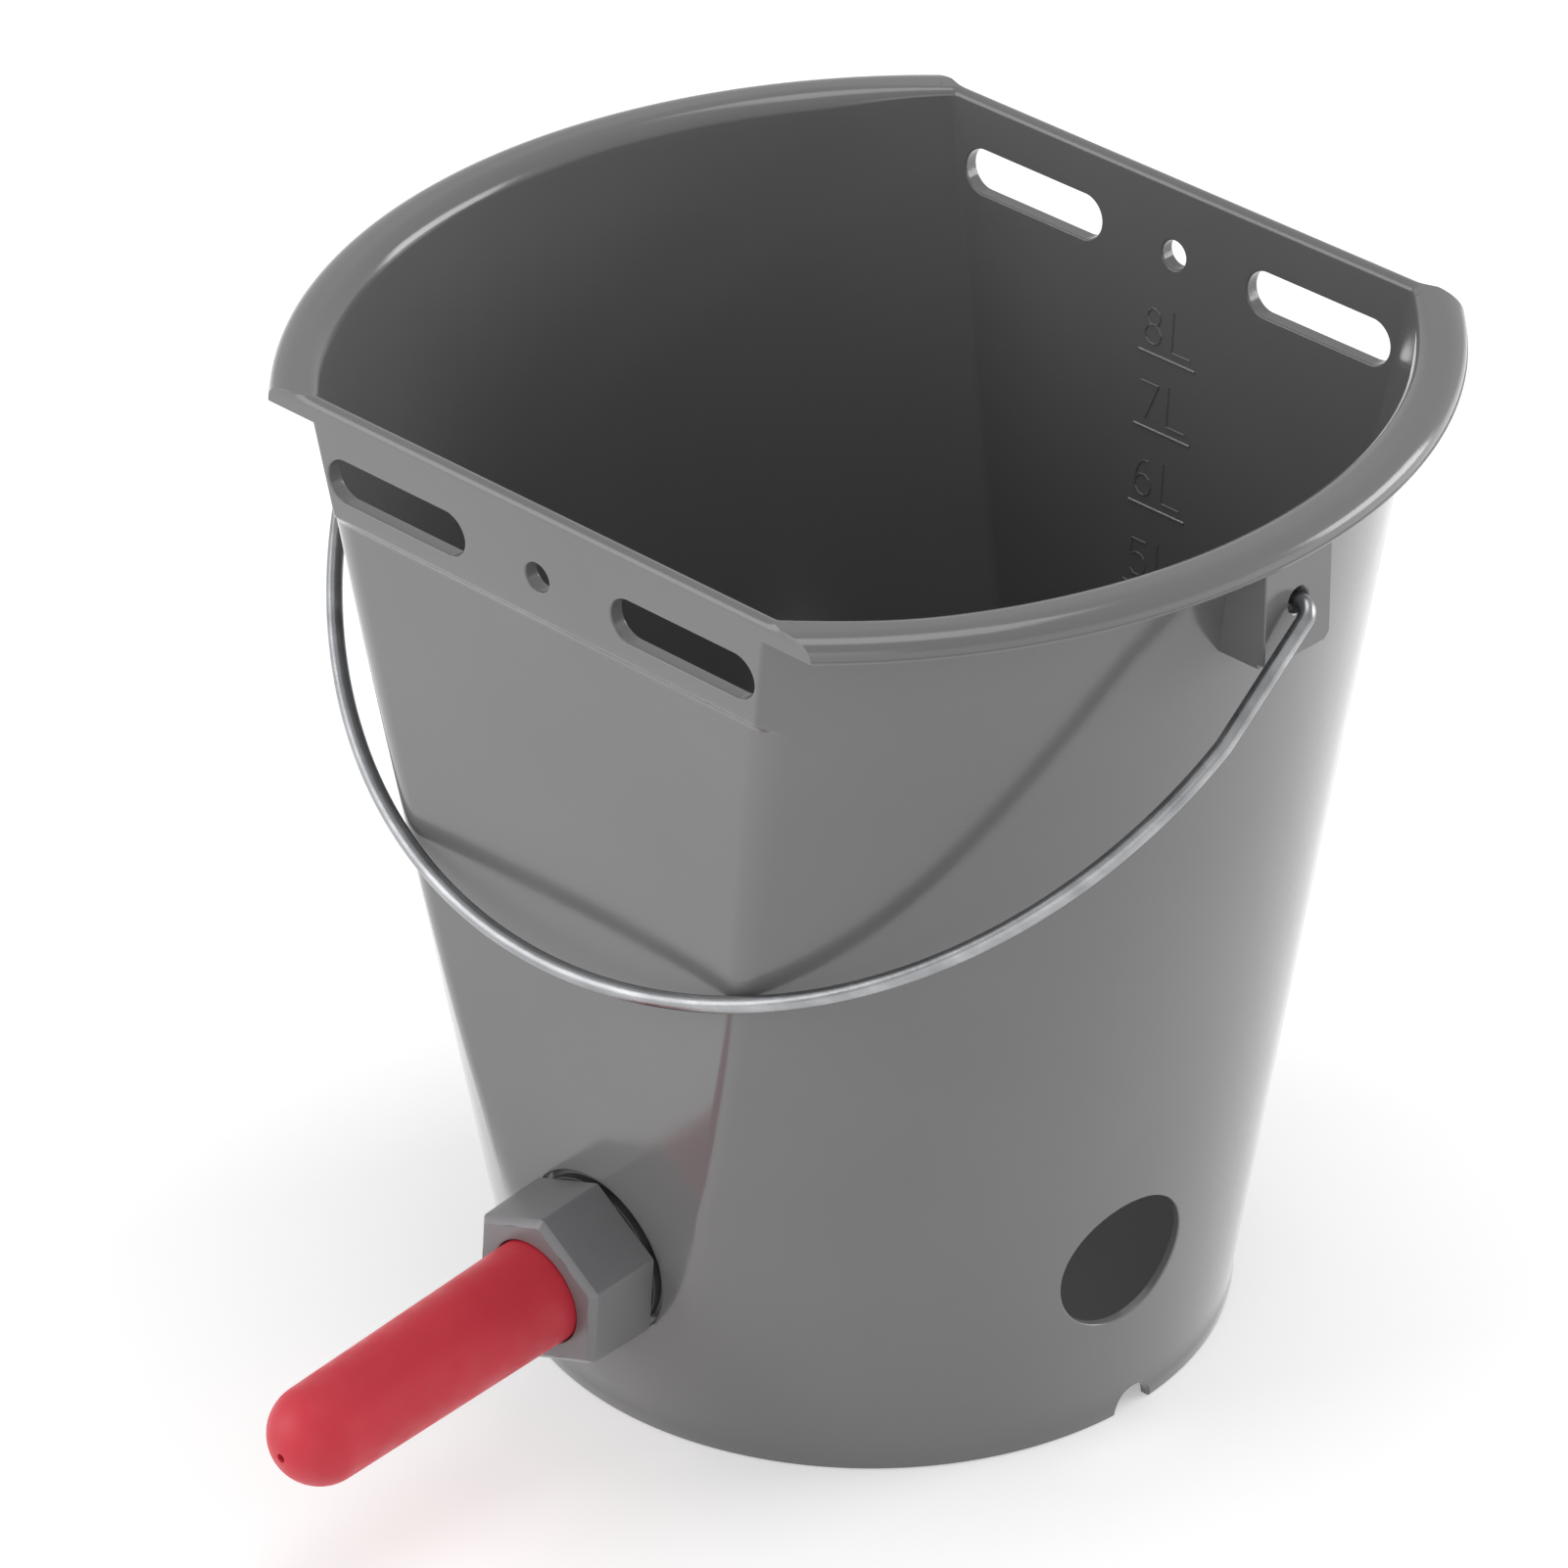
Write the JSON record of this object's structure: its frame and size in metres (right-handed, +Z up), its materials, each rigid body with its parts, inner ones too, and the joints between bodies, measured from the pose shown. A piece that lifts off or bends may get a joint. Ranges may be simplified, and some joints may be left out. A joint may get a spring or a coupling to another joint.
{
  "type": "calf feeder bucket",
  "caption": "Tapered plastic bucket with two flat hanging sides with slots, a swinging wire bail and a screwed-in ball valve with a rubber teat near the bottom.",
  "frame": {"origin": "middle of the bucket's round foot, on the ground", "axes": "+Z up along the bucket, -Y towards the teat, square to the flat side it is in, +X towards the side with the spare hole; the bail turns about X"},
  "size_m": [0.2986, 0.3309, 0.2774],
  "materials": {
    "bucket_plastic": "smooth moulded grey polypropylene",
    "zinc_wire": "drawn and galvanised",
    "nut_plastic": "fine moulded grey",
    "teat_rubber": "soft satin red",
    "gasket_rubber": "matte black",
    "valve_plastic": "natural white",
    "ball_plastic": "smooth natural white"
  },
  "bodies": {
    "bucket": {"bucket": "bucket_plastic", "valve_body": "valve_plastic", "inner_gasket": "gasket_rubber", "outer_gasket": "gasket_rubber", "ball_cage": "valve_plastic"},
    "bail": {"bail": "zinc_wire"},
    "teat": {"teat": "teat_rubber"},
    "nut": {"cap_nut": "nut_plastic"},
    "ball": {"valve_ball": "ball_plastic"}
  },
  "joints": [
    {"name": "bail_swing", "type": "hinge", "parent": "bucket", "child": "bail", "pos_m": [0, 0, 0.2593], "axis": [-1, 0, 0], "range_deg": [0, 265.1]},
    {"name": "teat_slide", "type": "slide", "parent": "bucket", "child": "teat", "axis": [0, -0.9976, -0.0698], "range_m": [0, 0.014]},
    {"name": "nut_turn", "type": "hinge", "parent": "teat", "child": "nut", "pos_m": [0, -0.10125, 0.0522], "axis": [0, -0.9976, -0.0698], "range_deg": [0, 1260]},
    {"name": "ball_lift", "type": "slide", "parent": "bucket", "child": "ball", "axis": [0, -0.9976, -0.0698], "range_m": [0, 0.003]}
  ],
  "couplings": [
    {"joint": "teat_slide", "follows": "nut_turn", "m_per_rad": 0.0006366}
  ]
}
